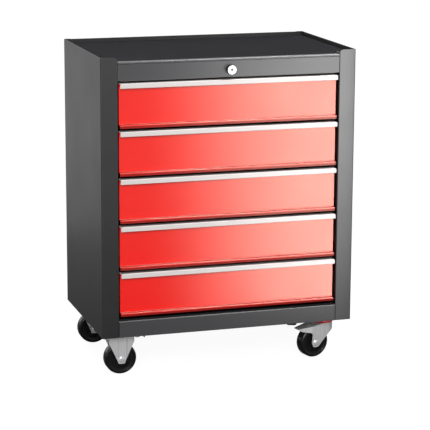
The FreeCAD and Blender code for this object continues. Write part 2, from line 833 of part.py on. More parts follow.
def tyre(centre):
    """Rounded tyre with a step at its hub."""
    half = wheel_width / 2
    seat = tyre_seat
    profile = [(seat, -half + 3.0, 0), (seat + 2.6, -half + 2.6, 1.0),
               (seat + 4.0, -half, 0.8), (wheel_radius, -half, tyre_shoulder),
               (wheel_radius, half, tyre_shoulder),
               (seat + 4.0, half, 0.8), (seat + 2.6, half - 2.6, 1.0), (seat, half - 3.0, 0)]
    return turned(profile, centre, vec(0, 1, 0))


def hub(centre):
    """Moulded hub: rim, thin web with ribs, and a long boss on the axle."""
    half = wheel_width / 2
    seat = tyre_seat
    web = hub_web / 2
    boss = hub_boss_radius
    boss_half = fork_gap / 2 - 0.6
    bore = axle_radius + axle_clearance
    profile = [(bore, -boss_half, 0), (boss, -boss_half, 0), (boss, -web, 0), (seat - 4.0, -web, 0),
               (seat - 4.0, -half + 3.0, 0), (seat, -half + 3.0, 0), (seat, half - 3.0, 0),
               (seat - 4.0, half - 3.0, 0), (seat - 4.0, web, 0), (boss, web, 0),
               (boss, boss_half, 0), (bore, boss_half, 0)]
    wheel = turned(profile, centre, vec(0, 1, 0))
    for i in range(6):
        rib = block(boss - 0.5, seat - 3.5, -half + 4.0, half - 4.0, -1.2, 1.2)
        rib.rotate(vec(0, 0, 0), vec(0, 1, 0), 60 * i + 30)
        rib.translate(centre)
        wheel = wheel.fuse(rib)
    return clean(wheel)


def swivel_plate(centre_x, centre_y):
    """Top plate, bearing cup and king pin of a swivel caster."""
    plate = caster_plate(centre_x, centre_y)
    cup = turned([(0, 0, 0), (race_radius - 3.0, 0, 0), (race_radius, cup_height, 0), (0, cup_height, 0)],
                 vec(centre_x, centre_y, seal_top + cup_gap), vec(0, 0, 1))
    pin = rod(king_pin_radius, vec(centre_x, centre_y, fork_head_top - fork_sheet - 0.3),
              vec(0, 0, 1), 14.0)
    rivet = turned([(0, -2.2, 0), (7.0, -2.2, 1.0), (7.5, 0, 0), (0, 0, 0)],
                   vec(centre_x, centre_y, fork_head_top - fork_sheet - 0.3), vec(0, 0, 1))
    return clean(plate.fuse(cup).fuse(pin).fuse(rivet))


def swivel_seal():
    """Dust seal between the fork head and the bearing cup, about the king pin."""
    bore = king_pin_radius + axle_clearance
    return turned([(bore, 0, 0), (race_radius - 2.0, 0, 0), (race_radius, 2.4, 1.5),
                   (race_radius - 1.5, seal_height, 0), (bore, seal_height, 0)],
                  vec(0, 0, fork_head_top), vec(0, 0, 1))


def swivel_fork():
    """Swivel caster housing about its king pin, trailing towards -X:
    a hood with legs and a curved front, narrowing behind to a nose over the wheel."""
    outer = fork_outer
    axle_z = wheel_radius
    foot_z = axle_z - fork_foot_drop
    top = fork_head_top
    rear = -caster_trail - swivel_fin_reach
    roof = [(outer + 1, top), (-14.0, top), (rear, top - swivel_roof_fall)]
    lower = [(rear, top - 12.0, 1.0), (-caster_trail - 35.0, top - 16.5, 5.0),
             (-caster_trail - 9.5, axle_z + 25.0, 7.0), (-caster_trail - 11.5, axle_z - 2.0, 14.0),
             (-caster_trail - 7.5, foot_z, 5.0), (-caster_trail + 6.0, foot_z, 5.0),
             (-caster_trail + 13.0, axle_z - 3.0, 14.0), (3.0, axle_z + 22.0, 8.0),
             (outer + 1, top - 13.0, 0)]
    side = [(x, z, 0) for x, z in roof] + lower
    inner = outer - fork_sheet
    taper = -caster_trail - swivel_taper_start
    nose = swivel_nose_half_width
    plan = [(rear - 1, -nose, 0), (taper, -outer, 6.0), (0, -outer, 0),
            (0, outer, 0), (taper, outer, 6.0), (rear - 1, nose, 0)]
    inner_nose = nose - fork_sheet
    inner_plan = [(rear - 5, -inner_nose, 0), (taper, -inner, 4.0), (0, -inner, 0),
                  (0, inner, 0), (taper, inner, 4.0), (rear - 5, inner_nose, 0)]
    body = outline_face(plan, on_plan(0)).extrude(vec(0, 0, top + 10))
    body = body.fuse(rod(outer, vec(0, 0, 0), vec(0, 0, 1), top + 10))
    body = body.common(outline_face(side, on_front(-outer - 1)).extrude(vec(0, 2 * outer + 2, 0)))
    hollow = outline_face(inner_plan, on_plan(-5)).extrude(vec(0, 0, top + 5))
    hollow = hollow.fuse(rod(inner, vec(0, 0, -5), vec(0, 0, 1), top + 5))
    ceiling = [(outer + 5, top - fork_sheet, 0), (-14.0, top - fork_sheet, 0),
               (rear - 5, top - swivel_roof_fall - fork_sheet - 0.8, 0), (rear - 5, -10, 0), (outer + 5, -10, 0)]
    hollow = hollow.common(outline_face(ceiling, on_front(-inner - 1)).extrude(vec(0, 2 * inner + 2, 0)))
    fork = body.cut(hollow)
    ribs = leg_ribs(-caster_trail, swivel_rib_offsets, top - 8.0, axle_z + 9.0, 0,
                    swivel_rib_radius, swivel_rib_rise)
    for rib in ribs:
        rib = rib.cut(block(-90, 30, -fork_gap / 2, fork_gap / 2, 0, 100))
        fork = fork.fuse(rib.common(outline_face(side, on_front(-outer - 3)).extrude(vec(0, 2 * outer + 6, 0))))
    fork = fork.cut(rod(king_pin_radius + axle_clearance, vec(0, 0, top - 10), vec(0, 0, 1), 20))
    hole_radius = axle_radius + axle_clearance
    fork = fork.cut(rod(hole_radius, vec(-caster_trail, -30, axle_z), vec(0, 1, 0), 60))
    return clean(fork)


def about_pin(shape, turn, centre_x, centre_y):
    """Moves a piece made about the king pin to its caster, turned as the caster stands."""
    placed = shape.copy()
    placed.rotate(vec(0, 0, 0), vec(0, 0, 1), turn)
    placed.translate(vec(centre_x, centre_y, 0))
    return placed


def add_carcass():
    right = right_side_panel()
    parts["right_side_panel"] = right
    parts["left_side_panel"] = mirror_x(right)
    parts["back_panel"] = back_panel()
    parts["base_pan"] = base_pan()
    parts["top_tray"] = top_tray()
    parts["top_mat"] = top_mat()
    parts["lock_rail"] = lock_rail()
    parts["bottom_rail"] = bottom_rail()
    parts["slide_pillars"] = slide_pillars()
    parts["cabinet_runners"] = cabinet_runners()


def add_drawers():
    for index in range(drawer_count):
        name = "drawer_" + str(index + 1)
        parts[name + "_box"] = drawer_box(index)
        parts[name + "_front"] = drawer_front(index)
        parts[name + "_pull"] = drawer_pull(index)
        parts[name + "_runners"] = both_sides(inner_member(slide_z(index)))
        parts[name + "_ball_cages"] = both_sides(ball_cage(slide_z(index)))


def add_lock():
    parts["lock_housing"] = lock_housing()
    parts["lock_plug"] = lock_plug()
    parts["lock_rod"] = lock_rod()
    parts["lock_bar"] = lock_bar()
    parts["lock_bar_guides"] = lock_bar_guides()


def add_casters():
    centres = caster_centres()
    parts["caster_brackets"] = caster_brackets()
    parts["caster_bolts"] = caster_bolts()
    axles = []
    for name, (x, y) in zip(("front", "rear"), centres[:2]):
        wheel_centre = vec(x, y, wheel_radius)
        parts[name + "_fixed_fork"] = fixed_fork(x, y)
        parts[name + "_fixed_tyre"] = tyre(wheel_centre)
        parts[name + "_fixed_hub"] = hub(wheel_centre)
        axles.append(axle(wheel_centre))
    parts["fixed_caster_axles"] = group(axles)
    parts["swivel_caster_plates"] = group([swivel_plate(x, y) for x, y in centres[2:]])
    wheel_centre = vec(-caster_trail, 0, wheel_radius)
    pieces = {"fork": swivel_fork(), "seal": swivel_seal(), "axle": axle(wheel_centre),
              "tyre": tyre(wheel_centre), "hub": hub(wheel_centre)}
    turns = (front_swivel_turn, rear_swivel_turn)
    for name, (x, y), turn in zip(("front", "rear"), centres[2:], turns):
        for piece, shape in pieces.items():
            parts[name + "_swivel_" + piece] = about_pin(shape, turn, x, y)


add_carcass()
add_drawers()
add_lock()
add_casters()

os.makedirs("parts", exist_ok=True)
for name, shape in parts.items():
    shape.exportStep("parts/" + name + ".step")
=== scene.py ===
import math

import bmesh
import bpy
from mathutils import Matrix, Vector


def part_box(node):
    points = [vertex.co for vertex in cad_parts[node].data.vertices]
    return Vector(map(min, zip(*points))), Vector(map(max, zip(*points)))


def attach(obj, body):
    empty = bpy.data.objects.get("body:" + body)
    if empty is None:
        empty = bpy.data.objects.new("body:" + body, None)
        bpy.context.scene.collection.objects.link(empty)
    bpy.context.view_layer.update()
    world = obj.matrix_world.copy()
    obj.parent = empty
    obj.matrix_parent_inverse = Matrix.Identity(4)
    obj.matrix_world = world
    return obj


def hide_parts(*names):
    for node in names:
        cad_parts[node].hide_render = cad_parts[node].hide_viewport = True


bl_info = {
    "name": "Rolling Tool Cabinet",
    "version": (1, 0, 0),
    "blender": (4, 5, 0),
    "location": "View3D > Sidebar > Tool Cabinet",
    "description": "Paint, plating, ribbed mat, fasteners and studio for a rolling tool cabinet",
    "category": "Object",
}

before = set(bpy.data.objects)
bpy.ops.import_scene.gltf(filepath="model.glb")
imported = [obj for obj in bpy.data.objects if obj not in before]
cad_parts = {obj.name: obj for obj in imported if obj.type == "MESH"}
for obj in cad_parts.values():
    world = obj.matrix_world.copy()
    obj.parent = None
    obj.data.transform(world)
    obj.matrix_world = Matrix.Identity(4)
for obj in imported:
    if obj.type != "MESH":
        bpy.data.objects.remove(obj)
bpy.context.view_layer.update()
DRAWERS = ["drawer_1", "drawer_2", "drawer_3", "drawer_4", "drawer_5"]
CASTERS = ["front_fixed", "rear_fixed", "front_swivel", "rear_swivel"]

# The factor, A and B sockets of a colour mix, and its result
MIX_INPUTS = (0, 6, 7)
MIX_RESULT = 2

# Colours that the materials mix in
DUST_COLOUR = (0.35, 0.34, 0.32, 1.0)
MARK_COLOUR = (0.0, 0.0, 0.0, 1.0)
# Painted shade: the dark red that the red enamel takes on faces that look down and on ledges
PAINTED_SHADE_COLOUR = (0.02, 0.004, 0.004, 1.0)
WARM_TINT = (0.78, 0.66, 0.52, 1.0)
COOL_TINT = (0.50, 0.60, 0.74, 1.0)
# Painted shade of the lock's keyhole
KEYHOLE_SHADE_COLOUR = (0.13, 0.13, 0.14, 1.0)

# The painted shade of the keyhole in the middle of the lock's face, and how far its rim blurs to each side
CORE_RADIUS = 0.0034
CORE_BLUR = 0.0006

# Unevenness of the sheen, and height of the fine grain
PAINT_SPREAD = 0.10
MOULD_SPREAD = 0.15
METAL_GRAIN_DEPTH = 0.00002
MOULD_GRAIN_DEPTH = 0.00005

# Dust and marks on bare metals and on mouldings
METAL_HANDLING = {"Dust": 0.04, "Marks": 0.10}
MOULD_HANDLING = {"Dust": 0.02, "Marks": 0.15}

# The polish that rolling gives to a tyre
TYRE_COAT = 0.25
TYRE_COAT_ROUGHNESS = 0.12

# Finishes. Each colour is the name of a property of CabinetFinishes.
PAINTS = {
    "body_powder_coat": {"colour": "body_black", "roughness": 0.36, "level": 0.70, "tint": (1.0, 1.0, 1.0),
                         "dust": 0.01, "marks": 0.15, "grime": 0.0},
    "rail_enamel": {"colour": "rail_black", "roughness": 0.34, "level": 0.58, "tint": (1.0, 1.0, 1.0),
                    "dust": 0.01, "marks": 0.10, "grime": 0.0},
    "tray_enamel": {"colour": "tray_black", "roughness": 0.40, "level": 0.3, "tint": (1.0, 1.0, 1.0),
                    "dust": 0.02, "marks": 0.10, "grime": 0.0},
    # The red enamel's last value is painted shade under the lips of the fronts and on their ledges
    "red_enamel": {"colour": "enamel_red", "roughness": 0.22, "level": 0.85, "tint": (1.0, 1.0, 0.82),
                   "dust": 0.005, "marks": 0.03, "grime": 0.65},
}
METALS = {
    "pull_aluminium": {"colour": "pull_metal", "surface": "grain", "roughness": 0.45, "contrast": 0.20,
                       "metallic": 0.10},
    "zinc_plate": {"colour": "zinc", "surface": "clouding", "roughness": 0.24, "contrast": 0.12,
                   "metallic": 0.6},
    "lock_plating": {"colour": "plug_metal", "surface": "grain", "roughness": 0.16, "contrast": 0.05,
                     "metallic": 0.6},
}
MOULDINGS = {
    "ribbed_rubber": {"colour": "mat_black", "roughness": 0.80, "level": 0.05, "grain": 900.0},
    "rolling_rubber": {"colour": "tyre_black", "roughness": 0.26, "level": 0.10, "grain": 700.0},
    "hub_moulding": {"colour": "hub_black", "roughness": 0.50, "level": 0.10, "grain": 900.0},
    "seal_moulding": {"colour": "seal_red", "roughness": 0.28, "level": 0.5, "grain": 900.0},
    "lock_enamel": {"colour": "barrel_black", "roughness": 0.32, "level": 0.1, "grain": 900.0},
}

# One rib of the mat, as (share of the pitch, share of the height)
RIB_SHAPE = ((0.0, 0.0), (0.22, 0.0), (0.38, 0.8), (0.5, 1.0), (0.62, 0.8), (0.78, 0.0))

# How far back the posts fold and the lock rail's cap reaches, and the gap between the posts and the mat
POST_RETURN = 0.022
RAIL_CAP = 0.0125
MAT_GAP = 0.0015

# Heads of the screws and rivets, as (share of the radius, height) from the rim to the middle
PAN_HEAD = ((1.0, 0.0), (1.0, 0.0005), (0.85, 0.0011), (0.5, 0.0015), (0.0, 0.0016))
DOMED_HEAD = ((1.0, 0.0), (1.0, 0.0003), (0.86, 0.0008), (0.5, 0.0012), (0.0, 0.0013))
HEAD_SEGMENTS = 20

# The drawer box's sheet, and the places of the screws along a slide and of the rivets on the back
BOX_SHEET = 0.001
SCREW_INSET = 0.035
RIVETS_A_SIDE = 7
RIVET_MARGIN = 0.04
RIVET_INSET = 0.0085
RIVET_SINK = 0.0001

# The camera's frame in millimetres and its far limit, and the floor
SENSOR_WIDTH = 36.0
CLIP_END = 50.0
FLOOR_HALF = 30.0
FLOOR_ROUGHNESS = 0.9

# Lamps as (place, aim, width, height, name of the power), then where the post card fades in and out along X,
# and how much higher it fades than the front card
CARD_FORM = ((0.25, -0.62, 0.64), (-0.04, 0.31, 0.857), 1.5, 1.26, "card_power")
LAMPS = {
    "front_card": CARD_FORM,
    "enamel_card": CARD_FORM,
    "post_card": ((0.335, -0.30, 0.42), (0.035, 0.65, 0.42), 0.13, 0.92, "post_power"),
    "rear_card": ((-0.62, 1.10, 0.36), (-0.62, 0.0, 0.36), 0.8, 0.6, "rear_power"),
    "fill_panel": ((-1.3, -4.5, 2.2), (0.0, 0.0, 0.4), 2.3, 2.3, "fill_power"),
    "top_strip": ((0.95, -0.50, 2.2), (0.95, -0.5, 0.0), 1.3, 0.7, "top_power"),
}
POST_RAMPS = ((0.26, 0.28), (0.37, 0.35))
POST_LIFT = 0.03


# Sizes and colours

class CabinetFinishes(bpy.types.PropertyGroup):
    """Colours and surface values of the cabinet's paints, metals and rubbers."""

    body_black: bpy.props.FloatVectorProperty(
        name="Body Black", description="Powder coat of the side panels, posts and back",
        subtype="COLOR", size=3, min=0, max=1, default=(0.0035, 0.0035, 0.004))
    rail_black: bpy.props.FloatVectorProperty(
        name="Rail Black", description="Smoother black enamel of the front rails",
        subtype="COLOR", size=3, min=0, max=1, default=(0.044, 0.044, 0.047))
    tray_black: bpy.props.FloatVectorProperty(
        name="Tray Black", description="Enamel of the tray walls and the drawer boxes",
        subtype="COLOR", size=3, min=0, max=1, default=(0.012, 0.012, 0.013))
    enamel_red: bpy.props.FloatVectorProperty(
        name="Enamel Red", description="Gloss enamel of the drawer fronts",
        subtype="COLOR", size=3, min=0, max=1, default=(0.90, 0.004, 0.004))
    # The pull metal's pinkish tint is a painted reflection of the red fronts on grey aluminium
    pull_metal: bpy.props.FloatVectorProperty(
        name="Pull Metal", description="Anodised aluminium of the drawer pulls",
        subtype="COLOR", size=3, min=0, max=1, default=(0.685, 0.640, 0.625))
    zinc: bpy.props.FloatVectorProperty(
        name="Zinc", description="Bright zinc plate of the casters, slides and bolts",
        subtype="COLOR", size=3, min=0, max=1, default=(0.84, 0.85, 0.86))
    mat_black: bpy.props.FloatVectorProperty(
        name="Mat Black", description="Rubber of the ribbed tray mat",
        subtype="COLOR", size=3, min=0, max=1, default=(0.050, 0.050, 0.056))
    tyre_black: bpy.props.FloatVectorProperty(
        name="Tyre Black", description="Hard rubber of the caster tyres",
        subtype="COLOR", size=3, min=0, max=1, default=(0.008, 0.008, 0.008))
    hub_black: bpy.props.FloatVectorProperty(
        name="Hub Black", description="Moulded plastic of the caster hubs",
        subtype="COLOR", size=3, min=0, max=1, default=(0.008, 0.008, 0.008))
    seal_red: bpy.props.FloatVectorProperty(
        name="Seal Red", description="Dark red plastic of the swivel dust seals",
        subtype="COLOR", size=3, min=0, max=1, default=(0.80, 0.018, 0.030))
    plug_metal: bpy.props.FloatVectorProperty(
        name="Plug Metal", description="Bright plate of the lock's turning face",
        subtype="COLOR", size=3, min=0, max=1, default=(0.88, 0.88, 0.89))
    barrel_black: bpy.props.FloatVectorProperty(
        name="Barrel Black", description="Black enamel of the lock's barrel and the guides of its bar",
        subtype="COLOR", size=3, min=0, max=1, default=(0.004, 0.004, 0.004))
    peel_grain: bpy.props.FloatProperty(
        name="Peel Grain", description="Size of the orange-peel dimples in the powder coat",
        default=0.0022, min=0.0002, unit="LENGTH", precision=5)
    peel_depth: bpy.props.FloatProperty(
        name="Peel Depth", description="Height of the orange-peel dimples",
        default=0.00003, min=0.0, unit="LENGTH", precision=6)


class CabinetSizes(bpy.types.PropertyGroup):
    """Sizes of the pieces that are made here."""

    mat_pitch: bpy.props.FloatProperty(
        name="Rib Pitch", description="Spacing of the ribs of the tray mat",
        default=0.0032, min=0.001, unit="LENGTH", precision=5)
    mat_rib: bpy.props.FloatProperty(
        name="Rib Height", description="Height of the ribs of the tray mat",
        default=0.0009, min=0.0002, unit="LENGTH", precision=5)
    rivet_radius: bpy.props.FloatProperty(
        name="Rivet Radius", description="Radius of the domed rivet heads on the back",
        default=0.0032, min=0.001, unit="LENGTH", precision=5)
    screw_radius: bpy.props.FloatProperty(
        name="Screw Radius", description="Radius of the pan-head screws on the drawer slides",
        default=0.0030, min=0.001, unit="LENGTH", precision=5)


class CabinetStage(bpy.types.PropertyGroup):
    """Camera and lights."""

    azimuth: bpy.props.FloatProperty(
        name="Azimuth", description="How far the camera stands to the left of the front",
        default=math.radians(17.33), subtype="ANGLE")
    elevation: bpy.props.FloatProperty(
        name="Elevation", description="How far the camera looks down",
        default=math.radians(12.52), subtype="ANGLE")
    roll: bpy.props.FloatProperty(
        name="Roll", description="Tilt of the camera about its own axis",
        default=math.radians(0.26), subtype="ANGLE")
    distance: bpy.props.FloatProperty(
        name="Distance", description="Distance from the camera to the point it looks at",
        default=4.473, min=0.5, unit="LENGTH")
    lens: bpy.props.FloatProperty(
        name="Lens", description="Focal length in millimetres, for a 36 mm frame",
        default=153.4, min=10)
    target: bpy.props.FloatVectorProperty(
        name="Target", description="The point that the camera looks at",
        subtype="XYZ", size=3, default=(0.0216, 0.006, 0.336), unit="LENGTH")
    world_level: bpy.props.FloatProperty(
        name="World Level", description="Strength of the even light from all round",
        default=0.25, min=0)
    floor_colour: bpy.props.FloatVectorProperty(
        name="Floor Colour", description="Colour of the studio floor",
        subtype="COLOR", size=3, min=0, max=1, default=(0.14, 0.14, 0.14))
    floor_seen: bpy.props.FloatProperty(
        name="Floor Seen", description="White that the floor shows to the camera even in the deepest shadow",
        default=0.92, min=0, max=1)
    # The floor's mirrored white, with its near and far distances, makes a painted shadow around the cabinet
    # in reflections
    floor_mirrored: bpy.props.FloatProperty(
        name="Floor Mirrored", description="White that the far floor adds in reflections",
        default=0.33, min=0, max=1)
    floor_near: bpy.props.FloatProperty(
        name="Floor Near", description="Distance at which the floor begins to add white in reflections",
        default=0.0, min=0, unit="LENGTH")
    floor_far: bpy.props.FloatProperty(
        name="Floor Far", description="Distance at which the floor adds its full white in reflections",
        default=3.6, min=0, unit="LENGTH")
    card_spread: bpy.props.FloatProperty(
        name="Card Spread", description="Angle over which the grids of the front cards let light out",
        default=math.radians(75), subtype="ANGLE")
    card_foot: bpy.props.FloatProperty(
        name="Card Foot", description="Height at which the card for the black sheet is dark",
        default=-0.25, unit="LENGTH")
    card_full: bpy.props.FloatProperty(
        name="Card Full", description="Height at which the card for the black sheet is brightest",
        default=0.60, unit="LENGTH")
    enamel_foot: bpy.props.FloatProperty(
        name="Enamel Foot", description="Height at which the card for the drawer fronts is dark",
        default=-0.30, unit="LENGTH")
    enamel_full: bpy.props.FloatProperty(
        name="Enamel Full", description="Height at which the card for the drawer fronts is brightest",
        default=0.08, unit="LENGTH")
    card_start: bpy.props.FloatProperty(
        name="Card Start", description="Where the two wide front cards begin to light up, along X",
        default=-0.07, unit="LENGTH")
    card_end: bpy.props.FloatProperty(
        name="Card End", description="Where the two wide front cards are brightest, along X",
        default=0.40, unit="LENGTH")
    card_trim: bpy.props.FloatProperty(
        name="Card Trim", description="Where the two wide front cards begin to fade out again, along X",
        default=0.50, unit="LENGTH")
    card_edge: bpy.props.FloatProperty(
        name="Card Edge", description="Where the two wide front cards have faded out, along X",
        default=0.64, unit="LENGTH")
    card_power: bpy.props.FloatProperty(
        name="Card Power", description="Power of each of the two wide front cards",
        default=8.2, min=0, unit="POWER")
    post_power: bpy.props.FloatProperty(
        name="Post Power", description="Power of the narrow card beside the right post",
        default=0.60, min=0, unit="POWER")
    fill_power: bpy.props.FloatProperty(
        name="Fill Power", description="Power of the soft light at the upper left",
        default=217.0, min=0, unit="POWER")
    rear_power: bpy.props.FloatProperty(
        name="Rear Power", description="Power of the weak card behind the left side",
        default=0.3, min=0, unit="POWER")
    top_power: bpy.props.FloatProperty(
        name="Top Power", description="Power of the strip light overhead",
        default=92.0, min=0, unit="POWER")


# Material helpers

def paint_shader(name, colour, roughness):
    """A new material with a plain colour and roughness, its node tree and its Principled shader."""
    material = bpy.data.materials.new(name)
    material.use_nodes = True
    tree = material.node_tree
    shader = tree.nodes["Principled BSDF"]
    shader.inputs["Base Color"].default_value = (*colour, 1.0)
    shader.inputs["Roughness"].default_value = roughness
    return material, tree, shader


def new_group(name, inputs, outputs):
    """A shader node group with its sockets, its input node and its output node."""
    group = bpy.data.node_groups.new(name, "ShaderNodeTree")
    for socket, kind, default in inputs:
        made = group.interface.new_socket(socket, in_out="INPUT", socket_type=kind)
        made.default_value = default
    for socket, kind in outputs:
        group.interface.new_socket(socket, in_out="OUTPUT", socket_type=kind)
    return group, group.nodes.new("NodeGroupInput"), group.nodes.new("NodeGroupOutput")


def math_node(tree, operation, a, b=0.0, clamp=False):
    """One step of arithmetic on numbers or sockets."""
    node = tree.nodes.new("ShaderNodeMath")
    node.operation = operation
    node.use_clamp = clamp
    for i, value in enumerate((a, b)):
        if isinstance(value, (int, float)):
            node.inputs[i].default_value = value
        else:
            tree.links.new(value, node.inputs[i])
    return node.outputs[0]


def ramp_node(tree, value, start, end, top):
    """A smooth rise from nothing at start to top at end."""
    node = tree.nodes.new("ShaderNodeMapRange")
    node.interpolation_type = "SMOOTHSTEP"
    node.inputs["From Min"].default_value = start
    node.inputs["From Max"].default_value = end
    node.inputs["To Max"].default_value = top
    tree.links.new(value, node.inputs["Value"])
    return node.outputs["Result"]


def colour_mix(tree, factor, a, b):
    """A colour that goes from a to b with the factor. Each is a value or a socket."""
    node = tree.nodes.new("ShaderNodeMix")
    node.data_type = "RGBA"
    for index, value in zip(MIX_INPUTS, (factor, a, b)):
        if hasattr(value, "links"):
            tree.links.new(value, node.inputs[index])
        else:
            node.inputs[index].default_value = value
    return node.outputs[MIX_RESULT]


def object_noise(tree, scale, detail, stretch=(1.0, 1.0, 1.0)):
    """Noise over the resting object, so it doesn't slide when a drawer opens."""
    coordinates = tree.nodes.new("ShaderNodeTexCoord")
    mapping = tree.nodes.new("ShaderNodeMapping")
    mapping.inputs["Scale"].default_value = stretch
    noise = tree.nodes.new("ShaderNodeTexNoise")
    noise.inputs["Detail"].default_value = detail
    if isinstance(scale, (int, float)):
        noise.inputs["Scale"].default_value = scale
    else:
        tree.links.new(scale, noise.inputs["Scale"])
    tree.links.new(coordinates.outputs["Object"], mapping.inputs["Vector"])
    tree.links.new(mapping.outputs["Vector"], noise.inputs["Vector"])
    return noise.outputs["Fac"]


def peel_group():
    """Orange-peel dimples and a little unevenness of sheen, for paint."""
    group, given, out = new_group(
        "Paint Peel",
        [("Grain", "NodeSocketFloat", 450.0), ("Roughness", "NodeSocketFloat", 0.3),
         ("Spread", "NodeSocketFloat", 0.05)],
        [("Height", "NodeSocketFloat"), ("Roughness", "NodeSocketFloat")])
    dimples = object_noise(group, given.outputs["Grain"], detail=2.0)
    blotches = object_noise(group, scale=9.0, detail=3.0)
    centred = math_node(group, "SUBTRACT", blotches, 0.5)
    spread = math_node(group, "MULTIPLY", centred, given.outputs["Spread"])
    sheen = math_node(group, "ADD", spread, given.outputs["Roughness"], clamp=True)
    group.links.new(dimples, out.inputs["Height"])
    group.links.new(sheen, out.inputs["Roughness"])
    return group


def dust_marks_and_shade_group():
    """Thin dust on what faces up, painted shade on ledges and on faces that look down, faint marks, and how
    far up a face looks.
    """
    group, given, out = new_group(
        "Dust And Marks",
        [("Color", "NodeSocketColor", (0.5, 0.5, 0.5, 1.0)), ("Dust", "NodeSocketFloat", 0.05),
         ("Marks", "NodeSocketFloat", 0.1), ("Grime", "NodeSocketFloat", 0.0)],
        [("Color", "NodeSocketColor"), ("Upward", "NodeSocketFloat")])
    geometry = group.nodes.new("ShaderNodeNewGeometry")
    split = group.nodes.new("ShaderNodeSeparateXYZ")
    group.links.new(geometry.outputs["Normal"], split.inputs["Vector"])
    flatness = 3.0
    upward = math_node(group, "POWER", math_node(group, "MAXIMUM", split.outputs["Z"], 0.0), flatness)
    patches = object_noise(group, scale=14.0, detail=4.0)
    film = math_node(group, "MULTIPLY", math_node(group, "MULTIPLY", upward, patches),
                     given.outputs["Dust"], clamp=True)
    dusty = colour_mix(group, film, given.outputs["Color"], DUST_COLOUR)
    smudges = object_noise(group, scale=6.0, detail=5.0)
    shade = math_node(group, "MULTIPLY", smudges, given.outputs["Marks"], clamp=True)
    marked = colour_mix(group, shade, dusty, MARK_COLOUR)
    # Painted shade: darker colour on faces that look down, as under the lips of the fronts, and on ledges
    underside_shade = ramp_node(group, split.outputs["Z"], start=-0.05, end=-0.30, top=1.0)
    ledge_shade = ramp_node(group, split.outputs["Z"], start=0.12, end=0.70, top=0.80)
    shade_share = math_node(group, "MULTIPLY", math_node(group, "ADD", underside_shade, ledge_shade), given.outputs["Grime"])
    group.links.new(colour_mix(group, shade_share, marked, PAINTED_SHADE_COLOUR), out.inputs["Color"])
    group.links.new(upward, out.inputs["Upward"])
    return group


def grain_group():
    """Fine parallel lines of drawn, brushed or extruded metal along X."""
    group, given, out = new_group(
        "Drawn Lines",
        [("Roughness", "NodeSocketFloat", 0.3), ("Contrast", "NodeSocketFloat", 0.2)],
        [("Height", "NodeSocketFloat"), ("Roughness", "NodeSocketFloat")])
    lines = object_noise(group, scale=60.0, detail=3.0, stretch=(0.06, 14.0, 14.0))
    centred = math_node(group, "SUBTRACT", lines, 0.5)
    spread = math_node(group, "MULTIPLY", centred, given.outputs["Contrast"])
    sheen = math_node(group, "ADD", spread, given.outputs["Roughness"], clamp=True)
    group.links.new(lines, out.inputs["Height"])
    group.links.new(sheen, out.inputs["Roughness"])
    return group


def clouding_group():
    """The faint clouds and fine sparkle of bright zinc plate."""
    group, given, out = new_group(
        "Plating Clouds",
        [("Roughness", "NodeSocketFloat", 0.3), ("Contrast", "NodeSocketFloat", 0.2),
         ("Color", "NodeSocketColor", (0.8, 0.8, 0.8, 1.0))],
        [("Height", "NodeSocketFloat"), ("Roughness", "NodeSocketFloat"), ("Color", "NodeSocketColor")])
    clouds = object_noise(group, scale=35.0, detail=4.0)
    tints = object_noise(group, scale=22.0, detail=2.0)
    warm_share, cool_share = 0.25, 0.20
    warm = colour_mix(group, math_node(group, "MULTIPLY", tints, warm_share),
                      given.outputs["Color"], WARM_TINT)
    cool = colour_mix(group, math_node(group, "MULTIPLY", clouds, cool_share), warm, COOL_TINT)
    group.links.new(cool, out.inputs["Color"])
    sparkle = object_noise(group, scale=900.0, detail=2.0)
    centred = math_node(group, "SUBTRACT", clouds, 0.5)
    spread = math_node(group, "MULTIPLY", centred, given.outputs["Contrast"])
    sheen = math_node(group, "ADD", spread, given.outputs["Roughness"], clamp=True)
    group.links.new(sparkle, out.inputs["Height"])
    group.links.new(sheen, out.inputs["Roughness"])
    return group


def keyhole_group():
    """Painted shade of the keyhole at the core of a tubular lock face, around the axis of the lock."""
    group, given, out = new_group(
        "Keyhole Shade",
        [("Color", "NodeSocketColor", (0.8, 0.8, 0.8, 1.0))],
        [("Color", "NodeSocketColor")])
    coordinates = group.nodes.new("ShaderNodeTexCoord")
    split = group.nodes.new("ShaderNodeSeparateXYZ")
    group.links.new(coordinates.outputs["Object"], split.inputs["Vector"])
    low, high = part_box("lock_plug")
    across = math_node(group, "SUBTRACT", split.outputs["X"], (low.x + high.x) / 2)
    upward = math_node(group, "SUBTRACT", split.outputs["Z"], (low.z + high.z) / 2)
    squares = math_node(group, "ADD", math_node(group, "MULTIPLY", across, across),
                        math_node(group, "MULTIPLY", upward, upward))
    radius = math_node(group, "SQRT", squares)
    rim = ramp_node(group, radius, start=CORE_RADIUS - CORE_BLUR, end=CORE_RADIUS + CORE_BLUR, top=1.0)
    shaded = colour_mix(group, rim, KEYHOLE_SHADE_COLOUR, given.outputs["Color"])
    group.links.new(shaded, out.inputs["Color"])
    return group


GROUPS = {"peel": ("Paint Peel", peel_group), "dust_and_shade": ("Dust And Marks", dust_marks_and_shade_group),
          "grain": ("Drawn Lines", grain_group), "clouding": ("Plating Clouds", clouding_group),
          "keyhole": ("Keyhole Shade", keyhole_group)}


def use_group(tree, group, values):
    """A node that holds a group, with constants on its sockets."""
    node = tree.nodes.new("ShaderNodeGroup")
    node.node_tree = group
    for socket, value in values.items():
        node.inputs[socket].default_value = value
    return node


def bump(tree, shader, height, distance):
    """Relief of a given depth on the shader's normal."""
    node = tree.nodes.new("ShaderNodeBump")
    node.inputs["Distance"].default_value = distance
    tree.links.new(height, node.inputs["Height"])
    tree.links.new(node.outputs["Normal"], shader.inputs["Normal"])


